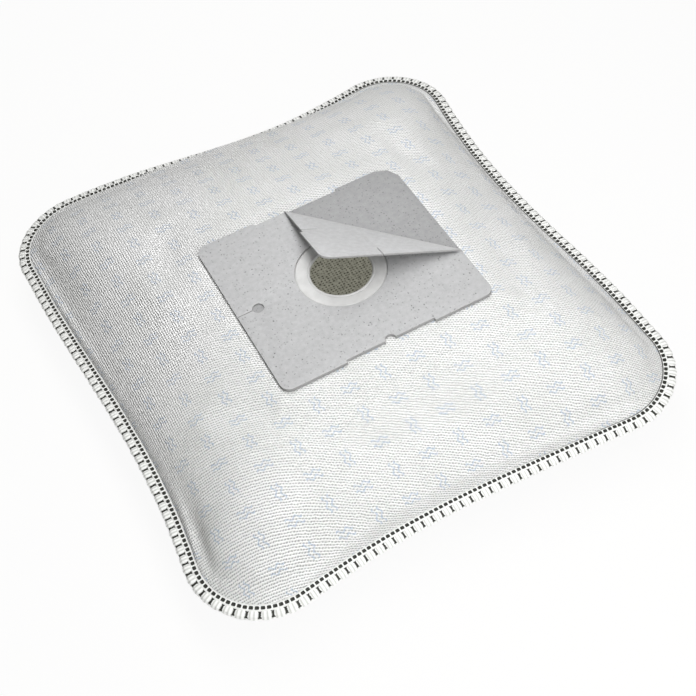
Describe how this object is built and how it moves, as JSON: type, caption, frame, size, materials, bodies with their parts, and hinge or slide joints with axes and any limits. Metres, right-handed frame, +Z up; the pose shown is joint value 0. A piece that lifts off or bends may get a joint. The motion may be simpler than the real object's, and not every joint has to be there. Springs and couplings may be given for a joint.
{
  "type": "vacuum cleaner dust bag",
  "caption": "Blown-up square fleece dust bag with a welded hem and a stiff card collar round its sealed inlet, one card corner folded back.",
  "frame": {"origin": "on the surface that the bag lies on, under the middle of its box", "axes": "+X along the collar's long edge, +Y along its short edge towards the folded corner, +Z up out of the inlet"},
  "size_m": [0.2555, 0.2866, 0.0863],
  "materials": {
    "fleece": "white non-woven fleece with a fine bonded dot pattern",
    "base_card": "speckled recycled grey card",
    "top_card": "speckled recycled grey card, plain on its reverse",
    "seal": "smooth white soft rubber"
  },
  "bodies": {
    "root": {"upper_panel": "fleece", "lower_panel": "fleece", "collar_base_card": "base_card", "sealing_ring": "seal", "collar_top_card": "top_card"}
  },
  "joints": []
}
